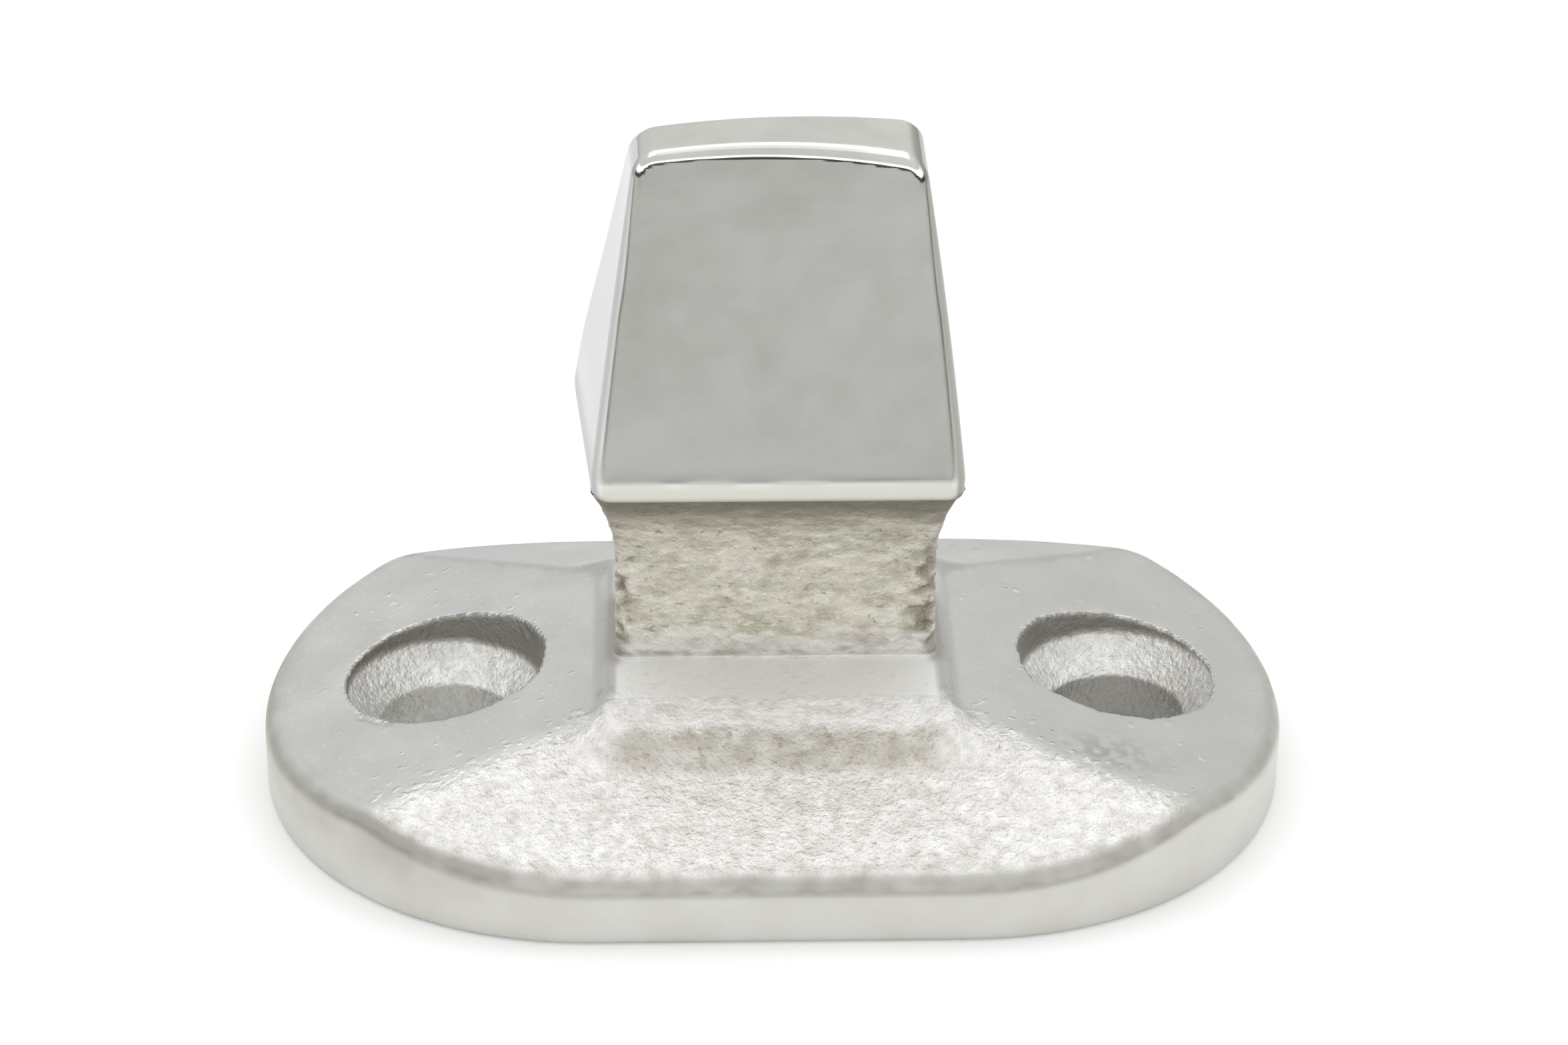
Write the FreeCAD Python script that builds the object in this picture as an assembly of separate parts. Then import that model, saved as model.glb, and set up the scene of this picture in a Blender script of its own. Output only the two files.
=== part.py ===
import FreeCAD
import Part
import math
import os

# Cleat horn: one stainless casting for two flat-head screws.
# +X runs along the base, -Y is the front, +Z is up; the origin is the middle of the underside.
# The casting is cut into its zones (two lugs, pad, neck, head) so that each zone is one solid.

# ---- base plan ----
base_length = 50.0
base_width = 33.0
pad_half_length = 10.4       # where the pad ends and the lugs begin

# ---- base top: four slopes rising to a small flat summit ----
summit_height = 7.0
lug_slope = 10.0             # degrees, falling towards each end
lug_centre = 16.5            # distance of a lug's centre from the middle
lug_height = 5.2             # top of a lug at its centre
apron_slope = 19.5           # degrees, falling to the front and to the back
apron_rim = 15.4             # distance of the apron's rim from the middle plane
apron_rim_height = 3.62
top_edge_radius = 0.9
bottom_edge_radius = 0.35

# ---- raised ledge round the foot of the neck, stepping down to each apron ----
ledge_height = 7.4
ledge_half_length = 7.5      # half-length of its flat
ledge_end = 9.0              # here its end slopes meet the lugs
ledge_reach = 6.55           # the flat ledge ends this far from the middle plane
step_foot = 10.7             # here the step meets the apron

# ---- screw holes ----
hole_spacing = 33.0
hole_shift = 0.4             # both holes sit this far to the right of the lug centres
sink_radius = 4.85           # flat-head recess
sink_straight_floor = 4.1    # the recess wall is straight above this height
hole_radius = 3.2            # cast clearance for an M5 screw
cone_foot = 2.45             # the 90 degree cone ends at this height

# ---- neck ----
neck_half_width = 7.7
neck_half_depth = 3.0
neck_top = 17.8
flare_start = 12.8
flare_power = 1.8            # the neck opens towards the head by this power of the height
neck_top_half_width = 8.75
neck_top_half_depth = 5.85

# ---- head ----
head_bottom = neck_top
head_top = 34.0              # crest of the crowned top
head_bottom_half_width = 8.75
head_bottom_half_depth = 6.2
head_top_half_width = 6.5
head_top_half_depth = 1.5
left_rear_flare = 1.35       # the left flank widens by this towards the back, at its foot
crown_radius = 44.0
crown_centre = 1.5           # the crown is highest a little to the right of the middle
head_edge_radius = 0.5
head_corner_radius = 0.8


def slab(outline, plane, start, end):
    """Solid from a closed outline drawn in the XZ or YZ plane, pushed along the third axis."""
    if plane == "XZ":
        points = [FreeCAD.Vector(a, start, b) for a, b in outline]
        push = FreeCAD.Vector(0, end - start, 0)
    else:
        points = [FreeCAD.Vector(start, a, b) for a, b in outline]
        push = FreeCAD.Vector(end - start, 0, 0)
    face = Part.Face(Part.makePolygon(points + points[:1]))
    return face.extrude(push)


def mirrored_outline(right_side):
    """Close a right-hand profile (bottom to top) with its mirror image."""
    left_side = [(-a, b) for a, b in reversed(right_side)]
    return right_side + left_side


def stadium(length, width, height):
    """Plate with round ends, standing on z = 0."""
    radius = width / 2
    run = length / 2 - radius
    corner = FreeCAD.Vector
    edges = [
        Part.LineSegment(corner(-run, -radius, 0), corner(run, -radius, 0)).toShape(),
        Part.Arc(corner(run, -radius, 0), corner(run + radius, 0, 0), corner(run, radius, 0)).toShape(),
        Part.LineSegment(corner(run, radius, 0), corner(-run, radius, 0)).toShape(),
        Part.Arc(corner(-run, radius, 0), corner(-run - radius, 0, 0), corner(-run, -radius, 0)).toShape(),
    ]
    return Part.Face(Part.Wire(edges)).extrude(corner(0, 0, height))


def only_solid(shape):
    """The single solid of a boolean result."""
    solids = shape.removeSplitter().Solids
    assert len(solids) == 1, len(solids)
    return solids[0]


def lug_top(x):
    """Height of the lug slope at a distance x from the middle."""
    return lug_height + math.tan(math.radians(lug_slope)) * (lug_centre - x)


def apron_top(y):
    """Height of the apron slope at a distance y from the middle plane."""
    return apron_rim_height + math.tan(math.radians(apron_slope)) * (apron_rim - y)


def bank(start, foot, ground):
    """Profile points of a bank: it runs parallel to the ground below it, then eases down into it."""
    lift = ledge_height - ground(start)
    pieces = 10
    points = []
    for i in range(pieces + 1):
        t = i / pieces
        fall = max(0.0, (t - 0.3) / 0.7)
        ease = fall * fall * (3 - 2 * fall)
        at = start + t * (foot - start)
        points.append((at, ground(at) + lift * (1 - ease) - 0.03 * t))
    return points


def make_ledge():
    """Flat ledge with stepped banks down to the aprons and short ones down to the lugs."""
    step = bank(ledge_reach, step_foot, apron_top)
    step.append((step_foot, 1.0))
    end = bank(ledge_half_length, ledge_end, lug_top)
    end += [(ledge_end + 0.9, lug_top(ledge_end) - 1.4), (ledge_end + 0.9, 1.0)]
    across = slab(mirrored_outline(step[::-1]), "YZ", -20, 20)
    along = slab(mirrored_outline(end[::-1]), "XZ", -20, 20)
    return only_solid(across.common(along))


def cut_screw_hole(body, x):
    """Straight recess wall, 90 degree cone and clearance hole at one screw position."""
    at = FreeCAD.Vector(x, 0, 0)
    up = FreeCAD.Vector(0, 0, 1)
    recess = Part.makeCylinder(sink_radius, 20, at + up * sink_straight_floor, up)
    cone = Part.makeCone(hole_radius, sink_radius, sink_straight_floor - cone_foot, at + up * cone_foot, up)
    through = Part.makeCylinder(hole_radius, 20, at - up, up)
    return body.cut(recess).cut(cone).cut(through)


def side_wall_edges(body, upper):
    """Upper or lower border edges of the vertical side wall."""
    chosen = []
    for edge in body.Edges:
        span = edge.LastParameter - edge.FirstParameter
        samples = [edge.valueAt(edge.FirstParameter + k * span) for k in (0.0, 0.3, 0.5, 0.7, 1.0)]
        if not all(on_outline(p) for p in samples):
            continue
        heights = [p.z for p in samples]
        seam = max(heights) - min(heights) > 3
        low = max(heights) < 1e-6
        if not seam and low != upper:
            chosen.append(edge)
    return chosen


def make_base():
    """The whole base before it is cut into lugs and pad."""
    body = stadium(base_length, base_width, 12)
    far = 30
    x_summit = lug_centre - (summit_height - lug_height) / math.tan(math.radians(lug_slope))
    roof = mirrored_outline([(far, -5), (far, lug_top(far)), (x_summit, summit_height)])
    body = body.common(slab(roof, "XZ", -30, 30))
    far = 20
    y_summit = apron_rim - (summit_height - apron_rim_height) / math.tan(math.radians(apron_slope))
    gable = mirrored_outline([(far, -5), (far, apron_top(far)), (y_summit, summit_height)])
    body = body.common(slab(gable, "YZ", -30, 30))
    body = only_solid(body)

    body = body.makeFillet(top_edge_radius, side_wall_edges(body, upper=True))
    body = body.makeFillet(bottom_edge_radius, side_wall_edges(body, upper=False))

    body = only_solid(body.fuse(make_ledge()))
    for side in (-1, 1):
        body = cut_screw_hole(body, hole_shift + side * hole_spacing / 2)
    return only_solid(body)


def on_outline(p):
    """True when a point lies on the vertical side wall of the base."""
    radius = base_width / 2
    run = base_length / 2 - radius
    dx = max(abs(p.x) - run, 0.0)
    return abs(math.hypot(dx, p.y) - radius) < 1e-4


def head_outline(half_width, half_depth, flare, z):
    """Four-cornered outline of the head at one height; the flare moves the left rear corner out."""
    corners = [(-half_width, -half_depth), (half_width, -half_depth),
               (half_width, half_depth), (-half_width - flare, half_depth)]
    points = [FreeCAD.Vector(x, y, z) for x, y in corners]
    return Part.makePolygon(points + points[:1])


def flared_profile(half_low, half_high):
    """Right-hand side of the neck: straight, then opening out to the head."""
    points = [(half_low, ledge_height), (half_low, flare_start)]
    steps = 10
    for i in range(1, steps + 1):
        t = i / steps
        points.append((half_low + (half_high - half_low) * t ** flare_power,
                       flare_start + (neck_top - flare_start) * t))
    return points


def make_neck():
    """Waisted post standing on the ledge."""
    wide = slab(mirrored_outline(flared_profile(neck_half_width, neck_top_half_width)), "XZ", -10, 10)
    deep = slab(mirrored_outline(flared_profile(neck_half_depth, neck_top_half_depth)), "YZ", -10, 10)
    return only_solid(wide.common(deep))


def make_head():
    """Wedge with a crowned crest and rounded edges."""
    lower_loop = head_outline(head_bottom_half_width, head_bottom_half_depth, left_rear_flare, head_bottom)
    upper_loop = head_outline(head_top_half_width, head_top_half_depth, 0, head_top)
    wedge = Part.makeLoft([lower_loop, upper_loop], True, True)
    axis_start = FreeCAD.Vector(crown_centre, -20, head_top - crown_radius)
    crown = Part.makeCylinder(crown_radius, 40, axis_start, FreeCAD.Vector(0, 1, 0))
    head = only_solid(wedge.common(crown))
    corner_edges = [e for e in head.Edges if abs(e.Vertexes[0].Z - e.Vertexes[-1].Z) > 10]
    head = head.makeFillet(head_corner_radius, corner_edges)
    crest = [e for e in head.Edges if min(v.Z for v in e.Vertexes) > head_top - 2]
    head = head.makeFillet(head_edge_radius, crest)
    return only_solid(head)


base = make_base()
neck = make_neck()
head = make_head()


def between(x_low, x_high):
    """Slice of the base between two x positions."""
    return only_solid(base.common(Part.makeBox(x_high - x_low, 60, 30, FreeCAD.Vector(x_low, -30, -5))))


nodes = {
    "left_lug": between(-30, -pad_half_length),
    "pad": between(-pad_half_length, pad_half_length),
    "right_lug": between(pad_half_length, 30),
    "neck": neck,
    "horn_head": head,
}

os.makedirs("parts", exist_ok=True)
for name, shape in nodes.items():
    shape.exportStep(f"parts/{name}.step")
    box = shape.optimalBoundingBox()
    print(name, shape.isValid(), round(shape.Volume, 2),
          [round(v, 3) for v in (box.XMin, box.XMax, box.YMin, box.YMax, box.ZMin, box.ZMax)])
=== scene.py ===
import bmesh
import bpy
import math
import numpy as np
from mathutils import Matrix, Vector


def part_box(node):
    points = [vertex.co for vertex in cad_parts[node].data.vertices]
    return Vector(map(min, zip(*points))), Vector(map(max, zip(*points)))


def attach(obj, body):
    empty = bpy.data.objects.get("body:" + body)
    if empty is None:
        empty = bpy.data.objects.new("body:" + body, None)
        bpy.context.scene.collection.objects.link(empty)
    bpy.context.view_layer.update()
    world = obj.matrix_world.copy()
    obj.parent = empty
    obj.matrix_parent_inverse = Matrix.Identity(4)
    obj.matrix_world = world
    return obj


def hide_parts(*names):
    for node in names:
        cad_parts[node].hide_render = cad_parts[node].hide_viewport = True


# Cleat horn: one bare stainless casting with a mirror-polished horn.
# The casting and the horn are each written as a distance-like field in millimetres, meshed,
# given their cast skin in geometry, and then cut along the CAD nodes.

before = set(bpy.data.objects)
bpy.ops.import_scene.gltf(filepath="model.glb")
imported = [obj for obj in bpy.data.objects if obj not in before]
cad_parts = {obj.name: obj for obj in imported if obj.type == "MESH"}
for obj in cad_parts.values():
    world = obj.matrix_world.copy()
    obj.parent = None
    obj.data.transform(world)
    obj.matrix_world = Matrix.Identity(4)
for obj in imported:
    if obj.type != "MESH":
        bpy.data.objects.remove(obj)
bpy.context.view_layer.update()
MM = 1000.0                       # millimetres in a metre
rng = np.random.default_rng(41)


def box_mm(node):
    """Lowest and highest corner of a CAD node, in millimetres."""
    low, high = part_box(node)
    return np.array(low) * MM, np.array(high) * MM


lug_high = box_mm("right_lug")[1]
pad_high = box_mm("pad")[1]
neck_high = box_mm("neck")[1]
head_low, head_high = box_mm("horn_head")

# ---- base, as in the CAD apart from the fullness of its ends ----
HALF_LENGTH = lug_high[0]
HALF_WIDTH = pad_high[1]
RUN = HALF_LENGTH - HALF_WIDTH
CUT_X = pad_high[0]
LEDGE_TOP = pad_high[2]
SUMMIT = 7.0
LUG_HEIGHT = 5.2                  # height of the lug this far from the middle
LUG_CENTRE = 16.5
LUG_TAN = math.tan(math.radians(10))
APRON_RIM = 3.62                  # height of the apron this far from the middle plane
APRON_RIM_AT = 15.4
APRON_TAN = math.tan(math.radians(19.5))
TOP_EDGE = 0.9
BOTTOM_EDGE = 0.35
HOLE_X = (-16.1, 16.93)
LEDGE_FLAT = 7.5                  # half-length of the ledge's flat
LEDGE_END = (1.4, 3.2)            # its end slopes run out over this: beside the flat, at the step's foot
LEDGE_REACH = 6.55                # the flat ends this far in front of and behind the middle
LEDGE_STEP = 4.2                  # and its steps run out over this
FULLNESS = 2.07                   # power of the end outlines: 2 would be a half circle
# ---- screw holes ----
CONE_FOOT = (2.3, 2.45)           # height where the cone starts: left, right
CONE_TOP = (3.85, 4.1)            # and where it ends
SEAT = (3.95, 4.2)                # height of the painted shade line where the straight wall meets the cone
BORE = (((-1.0, 3.15), (CONE_FOOT[0], 3.15), (CONE_TOP[0], 4.78), (9.0, 4.88)),
        ((-1.0, 3.3), (CONE_FOOT[1], 3.3), (CONE_TOP[1], 4.75), (9.0, 4.84)))    # (height, radius)
# ---- neck and head ----
NECK_TOP = neck_high[2]
NECK_HALF = (7.8, 3.0)            # half-width and half-depth at the foot
NECK_FLARE = (1.1, 2.8)           # they grow by this much up to the head
FLARE_START = 12.8                # the neck opens out above this height
FLARE_POWER = 1.7
HEAD_TOP = head_high[2]
HEAD_RISE = 16                    # over this height the faces lean in by the second numbers below
HEAD_DEPTH = (6.2, 4.7)           # half-depth at the foot
HEAD_RIGHT = (8.8, 2.2)           # half-width to the right
HEAD_LEFT = (8.75, 2.25)          # half-width to the left
LEFT_FLARE = 1.35                 # extra width of the left flank at the back; it fades out up the head
FLARE_TOP = 0.22                  # below this share of the height it stays the same
CROWN_RADIUS = 44.0
CROWN_CENTRE = 1.5
CREST_EDGE = 0.5                  # edge radius along the crest
CREST_LEAN = 0.05                 # the crest falls to the front, by this much more for each mm to the right
BELT = 0.035                      # the head is widest this far up its height


# ================= fields =================
def round_max(a, b, r):
    """Intersection of two bodies with an edge of radius r."""
    return np.minimum(np.maximum(a, b), -r) + np.hypot(np.maximum(a + r, 0), np.maximum(b + r, 0))


def round_min(a, b, r):
    """Union of two bodies with a fillet of radius r."""
    return -round_max(-a, -b, r)


def smoothstep(low, high, v):
    """0 below low, 1 above high, and a smooth rise between."""
    t = np.clip((v - low) / (high - low), 0, 1)
    return t * t * (3 - 2 * t)


def apron_top(ay):
    """Height of the front and rear slopes."""
    return APRON_RIM + APRON_TAN * (APRON_RIM_AT - ay)


def lug_top(ax):
    """Height of the slopes to the ends."""
    return LUG_HEIGHT + LUG_TAN * (LUG_CENTRE - ax)


def soft_min(a, b, width):
    """The lower of two heights, blended over a width."""
    return np.minimum(a, b) - np.maximum(width - np.abs(a - b), 0) ** 2 / (4 * width)


def ledge_reach(ax, ay):
    """0 on the flat of the ledge, 1 where its slopes have run out."""
    widening = smoothstep(LEDGE_REACH - 0.8, LEDGE_REACH + 2.8, ay)
    end = LEDGE_END[0] + (LEDGE_END[1] - LEDGE_END[0]) * widening
    return np.hypot(np.maximum(ax - LEDGE_FLAT, 0) / end,
                    np.maximum(ay - LEDGE_REACH, 0) / LEDGE_STEP)


def base_top(ax, ay):
    """Height of the base's upper face: hipped slopes with the ledge raised on them."""
    plain = soft_min(soft_min(lug_top(ax), apron_top(ay), 0.35), SUMMIT, 0.1)
    lift = LEDGE_TOP - apron_top(LEDGE_REACH)
    return soft_min(plain + lift * (1 - smoothstep(0.3, 1, ledge_reach(ax, ay))), LEDGE_TOP, 0.08)


def outline(ax, ay):
    """Distance outside the base's plan: straight sides and ends a little fuller than half circles."""
    dx = np.maximum(ax - RUN, 0)
    return (dx ** FULLNESS + ay ** FULLNESS) ** (1 / FULLNESS) - HALF_WIDTH


def by_side(x, values):
    """The first value on the left, the second on the right."""
    return np.where(x < 0, values[0], values[1])


def hole_polar(x, y):
    """Distance and direction from the nearer screw hole's axis."""
    dx = x - by_side(x, HOLE_X)
    return np.hypot(dx, y), np.arctan2(y, dx)


def bore_field(x, y, z):
    """Negative inside the screw holes; the rims are a little out of round."""
    r, turn = hole_polar(x, y)
    side = np.sign(x)
    wobble = (0.04 * np.sin(2 * turn + 0.7 * side) + 0.045 * np.sin(5 * turn + 1.9 * side)
              + 0.03 * np.sin(9 * turn))
    radius = by_side(x, [np.interp(z, *zip(*bore)) for bore in BORE])
    radius = radius + wobble * smoothstep(3.6, 6.0, z)
    slant = np.where((z > CONE_FOOT[0]) & (z < CONE_TOP[1]), math.sqrt(0.5), 1.0)
    return (r - radius) * slant


def neck_field(x, y, z):
    """Post with rounded upright edges that opens out to the head."""
    flare = np.clip((z - FLARE_START) / (NECK_TOP - FLARE_START), 0, 1) ** FLARE_POWER
    return round_max(np.abs(x) - NECK_HALF[0] - NECK_FLARE[0] * flare,
                     np.abs(y) - NECK_HALF[1] - NECK_FLARE[1] * flare, 0.7)


def cast_field(x, y, z):
    """Base, ledge and neck, with the screw holes."""
    ax, ay = np.abs(x), np.abs(y)
    wall = outline(ax, ay)
    height, d = base_top(ax, ay), 0.05
    tilt = np.hypot(base_top(ax + d, ay) - height, base_top(ax, ay + d) - height) / d
    body = round_max(wall, (z - height) / np.sqrt(1 + tilt * tilt), TOP_EDGE)
    body = round_max(body, -z, BOTTOM_EDGE)
    body = round_max(body, -bore_field(x, y, z), 0.2)
    neck = np.maximum(neck_field(x, y, z), LEDGE_TOP - 2 - z)
    body = round_min(body, neck, 0.10)
    return np.maximum(body, z - (NECK_TOP - 0.05))


def head_field(x, y, z):
    """Wedge with rounded upright edges, a crowned crest and a left flank that flares to the back."""
    t = (z - head_low[2]) / (HEAD_TOP - head_low[2])
    below = t - BELT
    # The outline draws in again under the belt.
    t = BELT + 0.75 * np.sqrt(below * below + 0.008 ** 2) + 0.25 * below
    depth = HEAD_DEPTH[0] - HEAD_DEPTH[1] * t
    faces = (np.abs(y) - depth) * math.cos(math.atan2(HEAD_DEPTH[1], HEAD_RISE))
    flank_slant = math.cos(math.atan2(HEAD_LEFT[1], HEAD_RISE))
    right = (x - (HEAD_RIGHT[0] - HEAD_RIGHT[1] * t + 0.6 * t * (1 - t))) * flank_slant
    rise = 0.5 * (t + FLARE_TOP + np.sqrt((t - FLARE_TOP) ** 2 + 0.06 ** 2))
    flare = LEFT_FLARE * (1 - rise) * (y + depth) / (2 * np.maximum(depth, 1.0))
    left = (-x - (HEAD_LEFT[0] - HEAD_LEFT[1] * t) - flare) * flank_slant
    lean = CREST_LEAN * (x + 6.5) * np.clip((1.5 - y) / 3, 0, 1.15)
    crown = np.hypot(x - CROWN_CENTRE, z + lean - (HEAD_TOP - CROWN_RADIUS)) - CROWN_RADIUS
    sides = round_max(np.maximum(right, left), crown, 1.0)
    edge = 0.9 - (0.9 - CREST_EDGE) * smoothstep(26, 33, z)
    body = round_max(sides, faces, edge)
    return round_max(body, head_low[2] - 0.35 - z, 0.3)


# ================= meshing =================
def sample(field, axes):
    """Field values on a grid, one slab at a time."""
    out = np.empty([len(a) for a in axes], np.float32)
    thick = 40
    for i in range(0, len(axes[0]), thick):
        x, y, z = np.meshgrid(axes[0][i:i + thick], axes[1], axes[2], indexing="ij")
        out[i:i + thick] = field(x, y, z)
    return out


def surface_net(field, low, high, step):
    """Closed quad mesh of field = 0: one vertex in each cell that the surface crosses."""
    axes = [np.arange(a, b + step, step) for a, b in zip(low, high)]
    values = sample(field, axes)
    inside = values < 0
    shape = tuple(n - 1 for n in values.shape)
    count = np.zeros(shape, np.int8)
    corners = [(i, j, k) for i in (0, 1) for j in (0, 1) for k in (0, 1)]
    for i, j, k in corners:
        count += inside[i:i + shape[0], j:j + shape[1], k:k + shape[2]]
    cells = np.argwhere((count > 0) & (count < 8))
    index = np.full(shape, -1, np.int32)
    index[tuple(cells.T)] = np.arange(len(cells))

    total, hits = np.zeros((len(cells), 3)), np.zeros(len(cells))
    for a in corners:
        for axis in range(3):
            if a[axis]:
                continue
            b = tuple(1 if n == axis else a[n] for n in range(3))
            va = values[tuple((cells + a).T)]
            vb = values[tuple((cells + b).T)]
            cross = (va < 0) != (vb < 0)
            share = np.where(cross, va / np.where(cross, va - vb, 1), 0)
            point = np.tile(np.array(a, float), (len(cells), 1))
            point[:, axis] = share
            total[cross] += point[cross]
            hits += cross
    points = (cells + total / hits[:, None]) * step + np.array([a[0] for a in axes])

    quads = []
    for axis in range(3):
        u, v = [(1, 2), (2, 0), (0, 1)][axis]
        one = [slice(1, -1)] * 3
        two = list(one)
        one[axis], two[axis] = slice(0, -1), slice(1, None)
        first, second = inside[tuple(one)], inside[tuple(two)]
        at = np.argwhere(first != second)
        out = first[tuple(at.T)]
        shift = np.ones(3, int)
        shift[axis] = 0
        at = at + shift
        loop = []
        for du, dv in ((-1, -1), (0, -1), (0, 0), (-1, 0)):
            cell = at.copy()
            cell[:, u] += du
            cell[:, v] += dv
            loop.append(index[tuple(cell.T)])
        loop = np.stack(loop, 1)
        loop[~out] = loop[~out][:, ::-1]
        quads.append(loop)
    return points, np.concatenate(quads)


def gradient(field, p, eps=0.01):
    """Direction in which the field grows, at each point."""
    g = np.empty_like(p)
    for axis in range(3):
        a, b = p.copy(), p.copy()
        a[:, axis] += eps
        b[:, axis] -= eps
        g[:, axis] = (field(*a.T) - field(*b.T)) / (2 * eps)
    return g


def settle(field, p, rounds=3):
    """Move points onto the surface."""
    for _ in range(rounds):
        g = gradient(field, p)
        size = np.maximum((g * g).sum(1), 0.05)
        move = -(field(*p.T) / size)[:, None] * g
        length = np.linalg.norm(move, axis=1, keepdims=True)
        p = p + move * np.minimum(1, 0.1 / np.maximum(length, 1e-9))
    return p


def relax(p, quads, weight=0.5):
    """Even out the mesh: each point moves towards the middle of its neighbours."""
    a = np.concatenate([quads[:, i] for i in range(4)])
    b = np.concatenate([quads[:, (i + 1) % 4] for i in range(4)])
    total = np.stack([np.bincount(a, p[b, i], len(p)) + np.bincount(b, p[a, i], len(p))
                      for i in range(3)], 1)
    number = np.bincount(a, minlength=len(p)) + np.bincount(b, minlength=len(p))
    return p + weight * (total / number[:, None] - p)


def vertex_normals(p, quads):
    """Area-weighted normals."""
    across = np.cross(p[quads[:, 2]] - p[quads[:, 0]], p[quads[:, 3]] - p[quads[:, 1]])
    n = np.stack([sum(np.bincount(quads[:, i], across[:, k], len(p)) for i in range(4))
                  for k in range(3)], 1)
    return n / np.maximum(np.linalg.norm(n, axis=1, keepdims=True), 1e-12)


def closed_mesh(field, low, high, step):
    """Even closed mesh of field = 0, with its points on the surface."""
    p, quads = surface_net(field, low, high, step)
    p = settle(field, p)
    for _ in range(3):
        p = settle(field, relax(p, quads), 2)
    return p, quads


# ================= noise =================
lattice = rng.normal(size=(4096, 3))
lattice /= np.linalg.norm(lattice, axis=1, keepdims=True)


def noise(p, scale, seed=0):
    """Gradient noise in about -1..1, with features of the given size in mm (one, or one per axis)."""
    q = p / np.asarray(scale, float) + seed * 17.3
    cell = np.floor(q).astype(np.int64)
    f = q - cell
    w = f * f * f * (f * (f * 6 - 15) + 10)
    out = np.zeros(len(p))
    for i in (0, 1):
        for j in (0, 1):
            for k in (0, 1):
                c = cell + (i, j, k)
                h = (c[:, 0] * 73856093) ^ (c[:, 1] * 19349663) ^ (c[:, 2] * 83492791)
                h = h ^ (seed * 2654435)
                g = lattice[(h ^ (h >> 13)) & 4095]
                d = f - (i, j, k)
                weight = np.ones(len(p))
                for axis, corner in enumerate((i, j, k)):
                    weight *= w[:, axis] if corner else 1 - w[:, axis]
                out += weight * (g * d).sum(1)
    return out * 1.7


# ================= cast body: skin and masks =================
CAST_STEP = 0.16
HEAD_STEP = 0.17
cast_p, cast_quads = closed_mesh(
    cast_field, (-HALF_LENGTH - 0.31, -HALF_WIDTH - 0.31, -0.29),
    (HALF_LENGTH + 0.3, HALF_WIDTH + 0.3, NECK_TOP + 0.7), CAST_STEP)
cast_n = gradient(cast_field, cast_p)
cast_n /= np.maximum(np.linalg.norm(cast_n, axis=1, keepdims=True), 1e-9)

x, y, z = cast_p.T
ax, ay = np.abs(x), np.abs(y)
slow = noise(cast_p, 3.5, 3)
fine = noise(cast_p, 0.7, 5)
grain = noise(cast_p, 0.42, 11)
lumps = noise(cast_p, 1.0, 12)
waves = noise(cast_p, 2.6, 13)
drag = noise(cast_p, (0.95, 0.8, 0.5), 14)
scar = noise(cast_p, (2.2, 1.2, 0.62), 15)
fleck = noise(cast_p, (0.55, 0.4, 0.34), 16)
hole_r, hole_turn = hole_polar(x, y)

# Where the ground satin facets end and the cast skin begins.
reach = ledge_reach(ax, ay)
hips = (apron_top(ay) - lug_top(ax)) + 0.10 * fine + 0.06 * slow
highlit_lip = LEDGE_REACH + 0.05 + 0.14 * fine
on_ledge = (1 - smoothstep(-0.15, 0.15, ay - highlit_lip)) * (1 - smoothstep(0.9, 1.1, reach))
in_front = smoothstep(-0.15, 0.15, -y - highlit_lip) * (1 - smoothstep(0.9, 1.1, reach))
satin = np.maximum(smoothstep(-0.20, 0.05, hips) * (1 - in_front), on_ledge)
# The rear slope is dressed smooth.
satin = np.maximum(satin, smoothstep(-1.0, 1.0, y - 6 - slow) * (1 - in_front))
border = outline(ax, ay) > -1.3 * TOP_EDGE
upward = cast_n[:, 2]
side_wall = np.where(border & (z < 6), 1 - smoothstep(0.55, 0.9, upward + 0.06 * slow + 0.05 * fine), 0)
in_bore = ((hole_r < 5.2) & (ax > 9) & (upward < 0.93)).astype(float)
neck_part = smoothstep(LEDGE_TOP + 0.05, LEDGE_TOP + 0.35, z + 0.12 * fine)
underside = (z < 0.2).astype(float)
pits = smoothstep(0.5, 0.85, noise(cast_p, 0.42, 21) + 0.5 * smoothstep(1.1, 0.0, hips) * (y < 0)
                  + 0.25 * slow - 0.1)
satin = satin * (1 - 0.5 * pits * (1 - border))
rough = (1 - satin) * (1 - side_wall) * (1 - neck_part) * (1 - in_bore) * (1 - underside)

# Depth of the cast skin below the nominal surface, in mm.
skin = rough * (0.05 + 0.028 * grain + 0.018 * lumps + 0.016 * waves)
# The lower corners of the neck are dented.
corner = smoothstep(np.where(x > 0, 5.9, 6.7), 7.6, ax) * smoothstep(4.6, 3.6, ay)
corner = corner * smoothstep(14.5, 11.5, z)
corner = corner * smoothstep(LEDGE_TOP + 0.2, LEDGE_TOP + 1.2, z) * smoothstep(1.2, 2.6, ay)
tear = 0.9 * drag + 0.7 * fleck + 0.25 * scar
# The upright edges of the flare are worn smooth.
strip = smoothstep(0.45, 0.62, np.abs(cast_n[:, 0])) * smoothstep(0.4, 0.6, np.abs(cast_n[:, 1]))
strip = strip * smoothstep(FLARE_START, 14.5, z)
low_neck = smoothstep(LEDGE_TOP, LEDGE_TOP + 1.6, z)
neck_skin = 0.09 + 0.032 * drag + 0.022 * scar + 0.045 * fleck
neck_skin = neck_skin * (1 - 0.7 * strip) * (0.35 + 0.65 * low_neck)
neck_skin = neck_skin + 0.30 * corner * np.maximum(0, tear + 0.25 * (x > 0))
skin = skin + neck_part * neck_skin
skin = skin + side_wall * (1 - underside) * (0.02 + 0.012 * waves + 0.008 * lumps)
skin = skin + in_bore * (0.03 + 0.018 * grain + 0.015 * lumps)
skin = skin + satin * (1 - neck_part) * 0.008 * (1 + waves)
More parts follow.
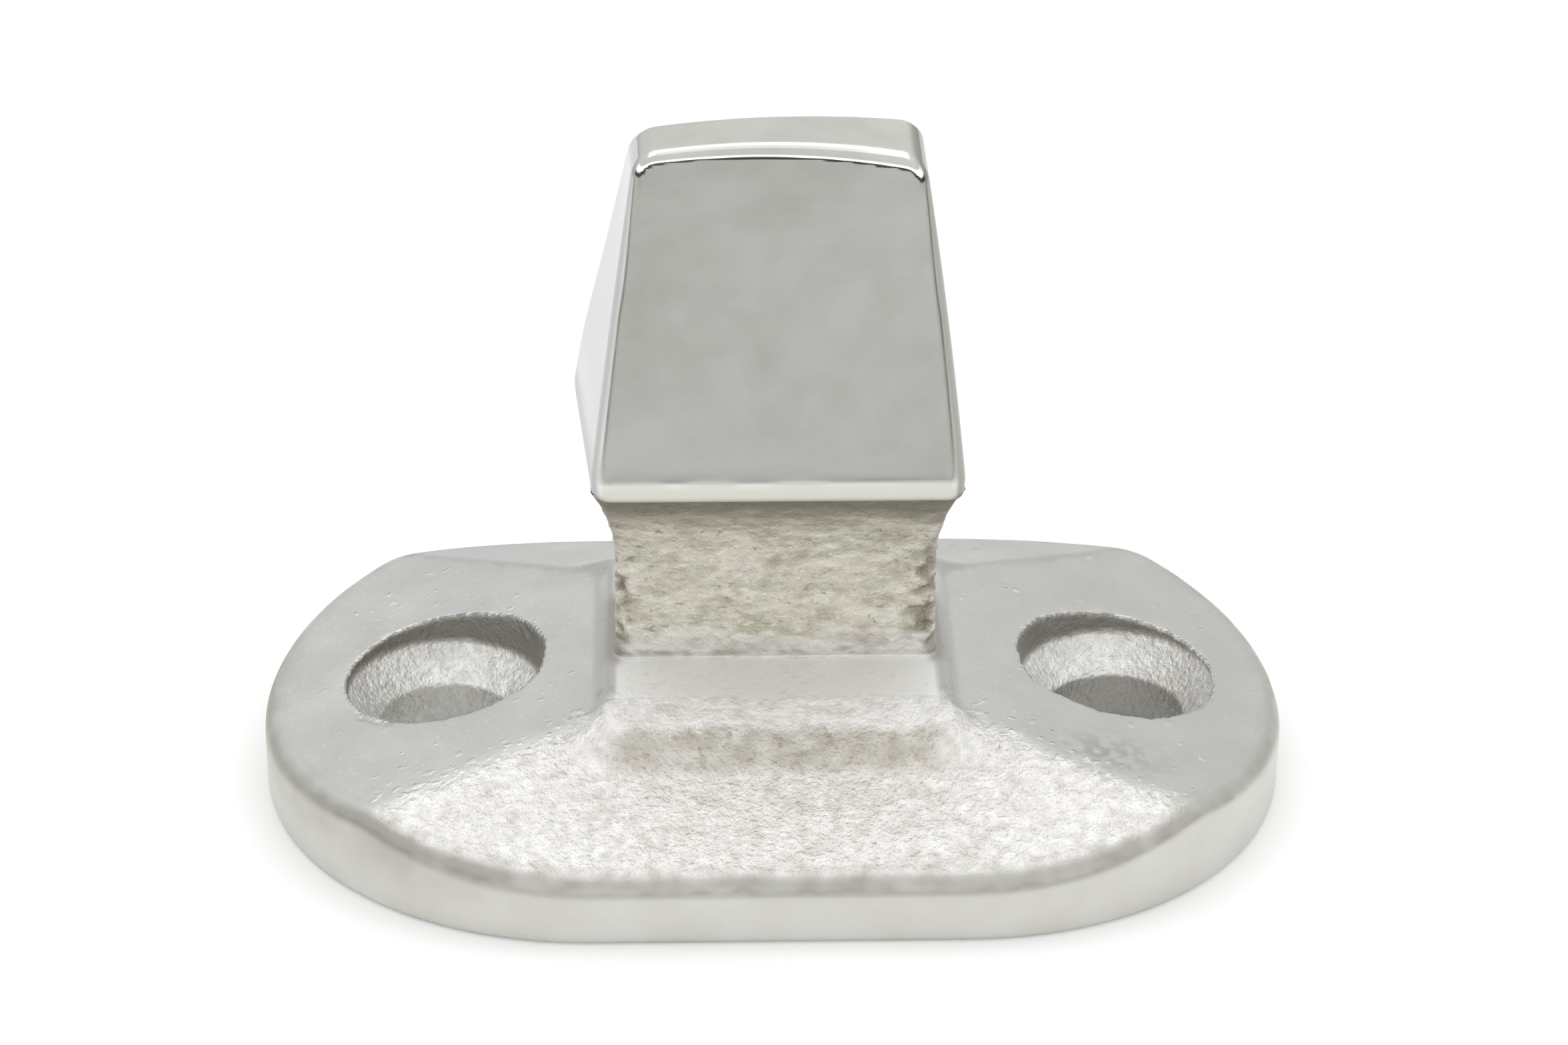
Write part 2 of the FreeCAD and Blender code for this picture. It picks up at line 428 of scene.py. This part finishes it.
rim_of_hole = np.exp(-((hole_r - 4.95) / 0.22) ** 2) * (z > 4.3)
skin = skin + rim_of_hole * np.maximum(0, 0.08 * grain + 0.06 * lumps)
chip = np.exp(-((hole_turn + 2.35) / 0.28) ** 2 - ((hole_r - 5.2) / 0.22) ** 2) * (x < 0) * (z > 3.8)
skin = skin + chip * (0.16 + 0.2 * grain)
skin = np.clip(skin, 0, 0.6)
cast_p = cast_p - cast_n * skin[:, None]
cast_normal = vertex_normals(cast_p, cast_quads)

# Darker places: random pores and the chip at the left hole, and painted shade in the dents, in the crease
# round the neck, beside its sides, as lines in the holes and along the front rim.
shaded_dents = corner * smoothstep(-0.15, 0.75, tear + 0.2 * (x > 0))
from_neck = np.maximum(neck_field(x, y, z), 0)
# Painted shade in the crease round the neck's foot and beside the neck's sides.
crease_shade = np.exp(-((z - LEDGE_TOP - 0.25) / 0.16) ** 2 - (from_neck / 0.25) ** 2)
crease_shade = crease_shade * smoothstep(-0.1, 0.5, 0.7 * lumps + 0.6 * fleck - 0.07 * x - 0.15)
contact_shade = np.exp(-(from_neck / 0.55) ** 2) * smoothstep(7.2, 7.7, ax) * (z > 5.5) * (z < 8.6)
pores_and_shade = rough * np.clip(0.1 + 0.3 * grain + 0.35 * lumps, 0, 1)
pores_and_shade = pores_and_shade + neck_part * np.clip(0.1 + 0.35 * scar + 0.4 * drag + 0.6 * fleck + 1.5 * shaded_dents, 0, 1.3)
above_seat = z - by_side(x, SEAT)
above_foot = z - by_side(x, CONE_FOOT)
# Painted shade lines where the hole's straight wall meets the cone and at the cone's foot.
seat_shade_line = in_bore * np.exp(-((above_seat - 0.05 * fine) / 0.09) ** 2) * smoothstep(-0.5, 0.5, lumps + 0.4)
foot_shade_line = in_bore * np.exp(-((above_foot - 0.05 * fine) / 0.08) ** 2) * smoothstep(-0.4, 0.4, lumps)
# A broken line of painted shadow along the front rim of the base.
rim_shade_line = border * (y < -9) * (z > 1.5)
rim_shade_line = rim_shade_line * np.exp(-((upward - 0.42 - 0.10 * lumps - 0.06 * fine) / 0.10) ** 2)
rim_shade_line = rim_shade_line * smoothstep(-0.35, 0.45, lumps + 0.5 * waves)
pores_and_shade = pores_and_shade + 1.2 * contact_shade + 0.9 * crease_shade + 0.75 * rim_shade_line + 0.9 * seat_shade_line
pores_and_shade = np.clip(pores_and_shade + 0.6 * foot_shade_line + 0.5 * chip * (grain > 0), 0, 1)

# Painted shade in the hollow below the lip and along the rim of the base, a speckled patch at the right
# front and grime on the left.
shaded_hollow = smoothstep(0.36, 0.52, reach + 0.06 * fine) * (1 - smoothstep(0.76, 1.0, reach + 0.08 * lumps))
shaded_hollow = shaded_hollow * (y < -LEDGE_REACH)
shaded_hollow = shaded_hollow * (1 - smoothstep(6.6, 9.2, ax + 0.3 * lumps))
rim = np.where(border & (z < 6), np.exp(-((upward - 0.62 - 0.05 * fine - 0.06 * lumps) / 0.30) ** 2), 0)
patch = np.exp(-((x - 15.6) / 2.6) ** 2 - ((y + 8.7) / 1.7) ** 2)
patch = patch * smoothstep(-0.5, 0.5, fine + 1.3 * grain)
dirt = side_wall * smoothstep(-6, -20, x) * smoothstep(0.8, 3.4, z)
dirt = dirt * (0.6 + 0.4 * smoothstep(-0.8, 0.8, waves + 0.6 * lumps))
# Painted shade on the ledge's end slopes beside the neck.
shaded_end_slope = smoothstep(0.0, 0.35, reach) * (1 - smoothstep(0.7, 1.05, reach))
shaded_end_slope = shaded_end_slope * smoothstep(LEDGE_FLAT - 0.1, LEDGE_FLAT + 0.3, ax)
# Painted light: the flat of the ledge is coloured lighter than the other satin faces.
lit_ledge_flat = (1 - smoothstep(0.05, 0.4, ay - highlit_lip)) * (1 - smoothstep(0.0, 0.5, reach))
lit_ledge_flat = lit_ledge_flat * smoothstep(0.5, 0.8, upward)
cast_masks = {
    "satin": satin * (1 - in_bore) * (1 - side_wall) * (1 - neck_part),
    "rough": np.clip(rough, 0, 1),
    "neck": neck_part,
    "wall": side_wall,
    "bore": in_bore,
    "pores_and_shade": pores_and_shade,
    "shaded_hollow": shaded_hollow * (1 - neck_part) * np.clip(0.85 + 0.4 * lumps, 0, 1),
    "highlit_lip": in_front * (1 - smoothstep(0.34, 0.5, reach)) * (1 - neck_part),
    "end": shaded_end_slope * (1 - smoothstep(5.5, 7.5, -y)) * (1 - neck_part),
    "dent_shade": neck_part * shaded_dents,
    "foot": neck_part * (1 - smoothstep(LEDGE_TOP + 0.2, LEDGE_TOP + 1.7, z + 0.5 * scar)),
    "rim": np.clip(rim * (0.75 + 0.25 * lumps + 0.15 * fine + 0.2 * waves) + patch + 0.6 * dirt, 0, 1),
    # Painted shade: the rear slope is coloured darker.
    "rear_shade": smoothstep(0.15, -0.15, hips) * smoothstep(4, 7, y) * (1 - neck_part) * (1 - side_wall),
    "strip": strip * neck_part,
    "east_shade": smoothstep(8, 14, x),
    "lit_ledge": lit_ledge_flat * (1 - neck_part),
    "shade": smoothstep(14.2, 16.8, z + 0.35 * scar + 0.2 * drag),
    "recess_shade": in_bore * smoothstep(-0.1, 0.2, above_seat + 0.08 * lumps),
    "through_shade": in_bore * (1 - smoothstep(-0.15, 0.1, above_foot)) * np.where(x < 0, 0.45, 1.0),
}

head_p, head_quads = closed_mesh(head_field, head_low - 0.7, head_high + 0.5, HEAD_STEP)
head_normal = gradient(head_field, head_p)
head_normal /= np.linalg.norm(head_normal, axis=1, keepdims=True)
x, y, z = head_p.T
slow = noise(head_p, 3.5, 31)
low_edge = smoothstep(HEAD_TOP - 12.5, head_low[2] + 0.4, z)
gap = smoothstep(-0.25, 0.3, noise(head_p, 2.4, 32) - 0.06 * x)
sideways = head_normal[:, 0]
# Painted shade on the narrow band along the foot of the head.
shaded_band = 1 - smoothstep(head_low[2] + 0.5, head_low[2] + 0.8, z - 0.12 * gap - 0.012 * x)
# Random cloud, plus painted light: the front is lighter low down and to the right and darker near the
# crest.
head_cloud_and_painted_light = 0.5 + 0.6 * slow + 0.45 * noise(head_p, 1.6, 33)
head_cloud_and_painted_light = head_cloud_and_painted_light + 0.6 * smoothstep(26, 18, z) - 0.3 * smoothstep(28, 32, z) + 0.045 * x
head_masks = {
    "shaded_band": shaded_band * (1 - smoothstep(0.3, 0.6, np.abs(sideways))),
    # The outline of the front face is crisp above and worn soft below.
    "worn": np.clip(smoothstep(0.25, 0.7, np.abs(sideways)) * low_edge ** 2
                    + np.exp(-((z - head_low[2] - 0.55) / 0.45) ** 2) * (0.1 + 0.5 * gap), 0, 1),
    "shaded_flank": smoothstep(0.55, 0.85, -sideways),
    "shaded_right_side": smoothstep(0.35, 0.7, sideways),
    "cloud_and_painted_light": np.clip(head_cloud_and_painted_light, 0, 1.2),
}


# ================= materials =================
def tree_of(material):
    material.use_nodes = True
    return material.node_tree


def add(tree, kind, inputs=None, **props):
    """New node with its inputs linked or set."""
    node = tree.nodes.new(kind)
    for key, value in props.items():
        setattr(node, key, value)
    for key, value in (inputs or {}).items():
        socket = node.inputs[key]
        if isinstance(value, bpy.types.NodeSocket):
            tree.links.new(value, socket)
        else:
            socket.default_value = value
    return node


def attribute(tree, name):
    return add(tree, "ShaderNodeAttribute", attribute_name=name).outputs["Fac"]


def noise_node(tree, vector, scale, detail=3.0, rough=0.55, distortion=0.0):
    return add(tree, "ShaderNodeTexNoise", {"Vector": vector, "Scale": scale, "Detail": detail,
                                            "Roughness": rough, "Distortion": distortion}).outputs["Fac"]


def ranged(tree, value, a, b, c, d):
    return add(tree, "ShaderNodeMapRange", {"Value": value, "From Min": a, "From Max": b,
                                            "To Min": c, "To Max": d}).outputs["Result"]


# A mix node keeps its sockets by number: 0 is the factor, 2 and 3 the values, 6 and 7 the colours.
def mix_value(tree, factor, a, b):
    return add(tree, "ShaderNodeMix", {0: factor, 2: a, 3: b}, data_type="FLOAT").outputs[0]


def mix_colour(tree, factor, a, b):
    return add(tree, "ShaderNodeMix", {0: factor, 6: a, 7: b}, data_type="RGBA").outputs[2]


def maths(tree, operation, a, b=0.0):
    return add(tree, "ShaderNodeMath", {0: a, 1: b}, operation=operation).outputs[0]


def shader(tree):
    return next(n for n in tree.nodes if n.type == "BSDF_PRINCIPLED")


def rgba(r, g, b):
    return (r, g, b, 1.0)


def tint(tree, colour, mask, amount, target):
    """Mix a colour towards a target by a named mask times an amount."""
    factor = attribute(tree, mask)
    if amount < 1:
        factor = maths(tree, "MULTIPLY", factor, amount)
    return mix_colour(tree, factor, colour, rgba(*target))


def cast_material():
    """Bare cast stainless: satin ground facets, sparkling cast skin, a mottled neck painted darker under
    the head, smooth side wall, and painted light and shade in places.
    """
    material = bpy.data.materials.new("cast_stainless")
    tree = tree_of(material)
    bsdf = shader(tree)
    where = add(tree, "ShaderNodeTexCoord").outputs["Object"]
    satin_mask, rough_mask = attribute(tree, "satin"), attribute(tree, "rough")
    neck_mask, wall_mask = attribute(tree, "neck"), attribute(tree, "wall")
    bore_mask = attribute(tree, "bore")

    cloud = noise_node(tree, where, 260, 4)
    patch = noise_node(tree, where, 700, 3, distortion=0.6)
    mottle = noise_node(tree, where, 1900, 4, 0.68)
    speck = noise_node(tree, where, 3800, 2, 0.6)
    streak_at = add(tree, "ShaderNodeMapping", {"Vector": where, "Scale": (0.5, 1.0, 1.6)}).outputs[0]
    streak = noise_node(tree, streak_at, 900, 4, 0.62, 0.4)

    satin_colour = mix_colour(tree, ranged(tree, cloud, 0.35, 0.65, 0, 1),
                              rgba(0.65, 0.65, 0.63), rgba(0.71, 0.71, 0.69))
    satin_colour = mix_colour(tree, ranged(tree, noise_node(tree, where, 4300, 2, 0.6), 0.60, 0.68, 0, 0.5),
                              satin_colour, rgba(0.82, 0.82, 0.80))
    # Painted shade: the satin at the right end is coloured darker.
    satin_colour = tint(tree, satin_colour, "east_shade", 0.5, (0.595, 0.592, 0.56))
    rough_colour = mix_colour(tree, ranged(tree, mottle, 0.35, 0.65, 0, 1),
                              rgba(0.79, 0.775, 0.75), rgba(1.0, 0.99, 0.97))
    # Painted highlight on the lip between the ledge and the hollow.
    rough_colour = tint(tree, rough_colour, "highlit_lip", 0.8, (1.0, 0.995, 0.98))
    # Painted shade in the hollow below the lip; the brown rust spots below lie in the same hollow.
    rough_colour = tint(tree, rough_colour, "shaded_hollow", 0.84, (0.55, 0.52, 0.46))
    rust = ranged(tree, noise_node(tree, where, 1500, 4, 0.7), 0.54, 0.64, 0, 0.7)
    rough_colour = mix_colour(tree, maths(tree, "MULTIPLY", rust, attribute(tree, "shaded_hollow")),
                              rough_colour, rgba(0.42, 0.34, 0.26))
    neck_warm = mix_colour(tree, ranged(tree, streak, 0.36, 0.62, 0, 1),
                           rgba(0.55, 0.54, 0.43), rgba(0.83, 0.815, 0.73))
    neck_colour = mix_colour(tree, ranged(tree, patch, 0.4, 0.62, 0, 0.6),
                             neck_warm, rgba(0.80, 0.725, 0.66))
    dash_at = add(tree, "ShaderNodeMapping", {"Vector": where, "Scale": (0.55, 1.0, 1.1)}).outputs[0]
    dash = noise_node(tree, dash_at, 3200, 4, 0.68, 0.6)
    neck_colour = mix_colour(tree, ranged(tree, dash, 0.41, 0.33, 0.0, 0.7),
                             neck_colour, rgba(0.28, 0.27, 0.20))
    neck_colour = mix_colour(tree, ranged(tree, dash, 0.56, 0.66, 0.0, 0.8),
                             neck_colour, rgba(0.90, 0.89, 0.84))
    neck_colour = tint(tree, neck_colour, "shade", 0.85, (0.20, 0.185, 0.14))
    wall_colour = mix_colour(tree, ranged(tree, cloud, 0.35, 0.65, 0, 1),
                             rgba(0.62, 0.615, 0.575), rgba(0.68, 0.675, 0.64))
    colour = mix_colour(tree, rough_mask, satin_colour, rough_colour)
    colour = mix_colour(tree, wall_mask, colour, wall_colour)
    # Painted light on the flat of the ledge.
    colour = tint(tree, colour, "lit_ledge", 1, (0.98, 0.98, 0.97))
    # Painted shade on the ledge's end slopes.
    colour = tint(tree, colour, "end", 1, (0.56, 0.56, 0.55))
    colour = mix_colour(tree, neck_mask, colour, neck_colour)
    colour = tint(tree, colour, "foot", 0.8, (0.80, 0.80, 0.78))
    # Painted shade in the dented lower corners of the neck.
    colour = tint(tree, colour, "dent_shade", 0.75, (0.25, 0.24, 0.17))
    colour = tint(tree, colour, "strip", 0.7, (0.62, 0.56, 0.50))
    # Painted shade along the rounded rim of the base, mixed with a real speckled stain at the right front
    # and grime on the left wall.
    colour = tint(tree, colour, "rim", 0.55, (0.34, 0.33, 0.28))
    # Painted shade on the rear slope.
    colour = tint(tree, colour, "rear_shade", 0.8, (0.50, 0.50, 0.49))
    cone_colour = mix_colour(tree, ranged(tree, mottle, 0.35, 0.65, 0, 1),
                             rgba(0.70, 0.695, 0.67), rgba(0.95, 0.945, 0.92))
    colour = mix_colour(tree, bore_mask, colour, cone_colour)
    # Painted shadow on the wall of each counterbore above the seat.
    colour = tint(tree, colour, "recess_shade", 1, (0.33, 0.32, 0.29))
    # Painted shade inside each through hole, deeper on the right.
    colour = tint(tree, colour, "through_shade", 1, (0.48, 0.47, 0.44))
    # Pores are darker at random; the creases, hole lines, rim line and dents in this mask are painted
    # shade.
    colour = tint(tree, colour, "pores_and_shade", 0.6, (0.36, 0.33, 0.27))
    tree.links.new(colour, bsdf.inputs["Base Color"])
    bsdf.inputs["Metallic"].default_value = 1.0

    finish = mix_value(tree, ranged(tree, cloud, 0.3, 0.7, 0, 1), 0.30, 0.40)
    finish = mix_value(tree, rough_mask, finish, ranged(tree, speck, 0.3, 0.7, 0.30, 0.52))
    finish = mix_value(tree, wall_mask, finish, ranged(tree, cloud, 0.3, 0.7, 0.30, 0.38))
    finish = mix_value(tree, neck_mask, finish, ranged(tree, streak, 0.3, 0.7, 0.42, 0.60))
    finish = mix_value(tree, attribute(tree, "lit_ledge"), finish, 0.7)
    finish = mix_value(tree, attribute(tree, "highlit_lip"), finish, 0.62)
    finish = mix_value(tree, bore_mask, finish, 0.42)
    finish = mix_value(tree, attribute(tree, "rim"), finish, 0.62)
    tree.links.new(finish, bsdf.inputs["Roughness"])

    pebbles = add(tree, "ShaderNodeTexVoronoi", {"Vector": where, "Scale": 3300, "Randomness": 1.0},
                  feature="SMOOTH_F1").outputs["Distance"]
    brush_at = add(tree, "ShaderNodeMapping", {"Vector": where, "Scale": (0.12, 1.0, 1.0)}).outputs[0]
    brush = noise_node(tree, brush_at, 9000, 2, 0.6)
    grit = noise_node(tree, where, 5200, 3, 0.62)
    rough_height = maths(tree, "ADD", maths(tree, "MULTIPLY", pebbles, 0.5), grit)
    amount = maths(tree, "ADD", rough_mask, maths(tree, "ADD", neck_mask, bore_mask))
    amount = maths(tree, "ADD", amount, 0.08)
    rough_height = maths(tree, "MULTIPLY", rough_height, amount)
    satin_height = maths(tree, "MULTIPLY", brush, maths(tree, "MULTIPLY", satin_mask, 0.10))
    height = maths(tree, "ADD", rough_height, satin_height)
    bump = add(tree, "ShaderNodeBump", {"Strength": 1.0, "Distance": 0.00010, "Height": height})
    tree.links.new(bump.outputs["Normal"], bsdf.inputs["Normal"])
    return material


def polished_material():
    """Mirror-polished stainless with faint wipe marks, a slight buffing wave, painted shade on its flanks
    and lower band, and painted light low and to the right on its front.
    """
    material = bpy.data.materials.new("polished_stainless")
    tree = tree_of(material)
    bsdf = shader(tree)
    where = add(tree, "ShaderNodeTexCoord").outputs["Object"]
    cloud = noise_node(tree, where, 190, 4, 0.6, 0.5)
    wipe_at = add(tree, "ShaderNodeMapping", {"Vector": where, "Scale": (0.35, 1.0, 1.5),
                                              "Rotation": (0, 0.35, 0)}).outputs[0]
    wipe = noise_node(tree, wipe_at, 420, 5, 0.62, 0.3)
    colour = mix_colour(tree, ranged(tree, cloud, 0.35, 0.65, 0, 1),
                        rgba(0.675, 0.67, 0.615), rgba(0.755, 0.752, 0.71))
    colour = mix_colour(tree, ranged(tree, wipe, 0.5, 0.75, 0, 0.35), colour, rgba(0.66, 0.655, 0.62))
    # Random cloud and painted light on the front of the head.
    cloud_and_painted_light = ranged(tree, attribute(tree, "cloud_and_painted_light"), 0, 1, 0, 0.26)
    colour = mix_colour(tree, cloud_and_painted_light, colour, rgba(1.0, 1.0, 0.99))
    # Painted shade on the left flank and the right side of the head.
    colour = tint(tree, colour, "shaded_flank", 1, (0.47, 0.48, 0.475))
    colour = tint(tree, colour, "shaded_right_side", 1, (0.38, 0.375, 0.34))
    # Painted shade on the band along the foot of the head.
    colour = tint(tree, colour, "shaded_band", 1, (0.73, 0.725, 0.665))
    tree.links.new(colour, bsdf.inputs["Base Color"])
    bsdf.inputs["Metallic"].default_value = 1.0
    finish = ranged(tree, wipe, 0.35, 0.75, 0.07, 0.13)
    finish = mix_value(tree, attribute(tree, "worn"), finish, 0.30)
    tree.links.new(mix_value(tree, attribute(tree, "shaded_band"), finish, 0.42), bsdf.inputs["Roughness"])
    wave = noise_node(tree, where, 120, 2, 0.5)
    bump = add(tree, "ShaderNodeBump", {"Strength": 1.0, "Distance": 0.00002, "Height": wave})
    tree.links.new(bump.outputs["Normal"], bsdf.inputs["Normal"])
    return material


def floor_material():
    """Matt pale paper, lifted a little by its own glow."""
    material = bpy.data.materials.new("pale_floor")
    tree = tree_of(material)
    bsdf = shader(tree)
    where = add(tree, "ShaderNodeTexCoord").outputs["Object"]
    paper = noise_node(tree, where, 60, 5, 0.6)
    tree.links.new(mix_colour(tree, paper, rgba(0.93, 0.93, 0.93), rgba(0.96, 0.96, 0.957)),
                   bsdf.inputs["Base Color"])
    bsdf.inputs["Roughness"].default_value = 0.9
    bsdf.inputs["Specular IOR Level"].default_value = 0.2
    bsdf.inputs["Emission Color"].default_value = rgba(1, 1, 1)
    bsdf.inputs["Emission Strength"].default_value = 0.12
    bump = add(tree, "ShaderNodeBump", {"Strength": 0.1, "Distance": 0.0002, "Height": paper})
    tree.links.new(bump.outputs["Normal"], bsdf.inputs["Normal"])
    return material


# ================= pieces =================
def mesh_from(name, points, quads, normals, masks):
    """Mesh in metres that carries its skin normals and masks as point attributes."""
    mesh = bpy.data.meshes.new(name)
    mesh.from_pydata((points / MM).tolist(), [], quads.tolist())
    layer = mesh.attributes.new("skin_normal", "FLOAT_VECTOR", "POINT")
    layer.data.foreach_set("vector", normals.astype(np.float32).ravel())
    for key, values in masks.items():
        layer = mesh.attributes.new(key, "FLOAT", "POINT")
        layer.data.foreach_set("value", values.astype(np.float32))
    return mesh


def cut(source, name, planes):
    """Copy of a closed mesh with everything beyond the planes cut off and each cut closed."""
    bm = bmesh.new()
    bm.from_mesh(source)
    for point, normal in planes:
        everything = bm.verts[:] + bm.edges[:] + bm.faces[:]
        made = bmesh.ops.bisect_plane(bm, geom=everything, plane_co=Vector(point) / MM, plane_no=normal,
                                      dist=1e-8, clear_outer=True)
        rim = [g for g in made["geom_cut"] if isinstance(g, bmesh.types.BMEdge)]
        bmesh.ops.holes_fill(bm, edges=rim, sides=0)
    mesh = bpy.data.meshes.new(name)
    bm.to_mesh(mesh)
    bm.free()
    return mesh


def finish_mesh(mesh, material):
    """Smooth shading from the skin's own normals, with flat cut faces."""
    count, loops = len(mesh.vertices), len(mesh.loops)
    normals = np.empty(count * 3, np.float32)
    mesh.attributes["skin_normal"].data.foreach_get("vector", normals)
    normals = normals.reshape(-1, 3)
    normals /= np.maximum(np.linalg.norm(normals, axis=1, keepdims=True), 1e-9)
    corner = np.empty(loops, np.int32)
    mesh.loops.foreach_get("vertex_index", corner)
    loop_normals = normals[corner]
    for face in mesh.polygons:
        if face.loop_total > 8:
            loop_normals[face.loop_start:face.loop_start + face.loop_total] = face.normal
    mesh.polygons.foreach_set("use_smooth", np.ones(len(mesh.polygons), bool))
    mesh.attributes.remove(mesh.attributes["skin_normal"])
    mesh.normals_split_custom_set(loop_normals.tolist())
    mesh.materials.append(material)


def place(name, mesh, material, node):
    """Visible piece that stands for a CAD node."""
    finish_mesh(mesh, material)
    piece = bpy.data.objects.new(name, mesh)
    bpy.context.scene.collection.objects.link(piece)
    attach(piece, "root")
    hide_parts(node)


NECK_CUT = (0, 0, LEDGE_TOP + 0.2)
cast_steel = cast_material()
mirror_steel = polished_material()
whole = mesh_from("casting", cast_p, cast_quads, cast_normal, cast_masks)
place("left_lug_cast", cut(whole, "left_lug_cast", [((-CUT_X, 0, 0), (1, 0, 0))]),
      cast_steel, "left_lug")
place("right_lug_cast", cut(whole, "right_lug_cast", [((CUT_X, 0, 0), (-1, 0, 0))]),
      cast_steel, "right_lug")
place("pad_cast", cut(whole, "pad_cast", [((-CUT_X, 0, 0), (-1, 0, 0)), ((CUT_X, 0, 0), (1, 0, 0)),
                                          (NECK_CUT, (0, 0, 1))]),
      cast_steel, "pad")
place("neck_cast", cut(whole, "neck_cast", [(NECK_CUT, (0, 0, -1))]),
      cast_steel, "neck")
bpy.data.meshes.remove(whole)
place("head_polished", mesh_from("head_polished", head_p, head_quads, head_normal, head_masks),
      mirror_steel, "horn_head")

# ================= floor, light, camera =================
def disc(name, radius, material):
    """Flat round sheet."""
    bm = bmesh.new()
    bmesh.ops.create_circle(bm, cap_ends=True, cap_tris=True, segments=96, radius=radius)
    mesh = bpy.data.meshes.new(name)
    bm.to_mesh(mesh)
    bm.free()
    mesh.materials.append(material)
    piece = bpy.data.objects.new(name, mesh)
    bpy.context.scene.collection.objects.link(piece)
    return piece


floor = disc("floor", 3.0, floor_material())
floor.location.z = -0.00002


def studio_world():
    """A plain light room: pale walls, a dark band in front above eye level, soft panels higher up."""
    world = bpy.data.worlds.new("studio")
    bpy.context.scene.world = world
    world.use_nodes = True
    tree = world.node_tree
    background = next(n for n in tree.nodes if n.type == "BACKGROUND")
    way = add(tree, "ShaderNodeTexCoord").outputs["Generated"]
    parts = add(tree, "ShaderNodeSeparateXYZ", {0: way}).outputs
    rise = maths(tree, "DIVIDE", maths(tree, "ARCSINE", parts["Z"]), math.pi / 2)

    brightest = 4.0

    def ramp(stops):
        """Brightness by elevation, from (degrees, level) pairs; the stops are stored as shares."""
        node = add(tree, "ShaderNodeValToRGB", {"Fac": rise})
        elements = node.color_ramp.elements
        while len(elements) > 1:
            elements.remove(elements[-1])
        for n, (degrees, level) in enumerate(stops):
            element = elements[0] if n == 0 else elements.new(degrees / 90)
            element.position = degrees / 90
            element.color = rgba(level / brightest, level / brightest, level / brightest)
        return node.outputs["Color"]

    front = ramp([(0, 0.8), (0.6, 0.3), (2.4, 0.3), (3.4, 0.60), (10, 0.62), (11, 0.06),
                  (20, 0.06), (22.5, 2.0), (33, 2.0), (36, 0.75), (90, 0.8)])
    back = ramp([(0, 0.8), (0.6, 0.5), (3, 0.7), (18, 0.74), (26, 0.79), (40, 0.79),
                 (50, 0.82), (58, 0.9), (61, 1.75), (77, 1.75), (80, 0.85), (90, 0.8)])
    side = ranged(tree, parts["Y"], -0.25, 0.25, 0, 1)
    colour = mix_colour(tree, side, front, back)
    tree.links.new(colour, background.inputs["Color"])
    background.inputs["Strength"].default_value = brightest


studio_world()


def area_light(name, at, aim, size, power):
    """Rectangular lamp that faces a point."""
    data = bpy.data.lights.new(name, "AREA")
    data.shape = "RECTANGLE"
    data.size, data.size_y = size
    data.energy = power
    lamp = bpy.data.objects.new(name, data)
    bpy.context.scene.collection.objects.link(lamp)
    lamp.location = at
    lamp.rotation_euler = (Vector(aim) - Vector(at)).to_track_quat("-Z", "Y").to_euler()


area_light("top_panel", (0, 0.25, 1.0), (0, 0, 0), (1.1, 0.9), 1.0)

# The camera's height, swing and tilt in degrees, its target and its distance in metres.
ELEVATION, AZIMUTH, ROLL = 28.86, 1.92, 0.51
TARGET = (0.00046, 0, 0.0132)
DISTANCE = 0.2
camera_data = bpy.data.cameras.new("camera")
camera_data.sensor_width = 36.0
camera_data.lens = 95.15
camera_data.clip_start = 0.01
camera_data.clip_end = 20
camera = bpy.data.objects.new("camera", camera_data)
bpy.context.scene.collection.objects.link(camera)
elevation, azimuth, roll = (math.radians(v) for v in (ELEVATION, AZIMUTH, ROLL))
back = Vector((-math.sin(azimuth) * math.cos(elevation), -math.cos(azimuth) * math.cos(elevation),
               math.sin(elevation)))
right = Vector((math.cos(azimuth), -math.sin(azimuth), 0))
up = back.cross(right)
right, up = (right * math.cos(roll) + up * math.sin(roll), up * math.cos(roll) - right * math.sin(roll))
turn = Matrix((right, up, back)).transposed().to_4x4()
camera.matrix_world = Matrix.Translation(Vector(TARGET) + back * DISTANCE) @ turn
bpy.context.scene.camera = camera
bpy.context.scene.view_settings.view_transform = "Standard"
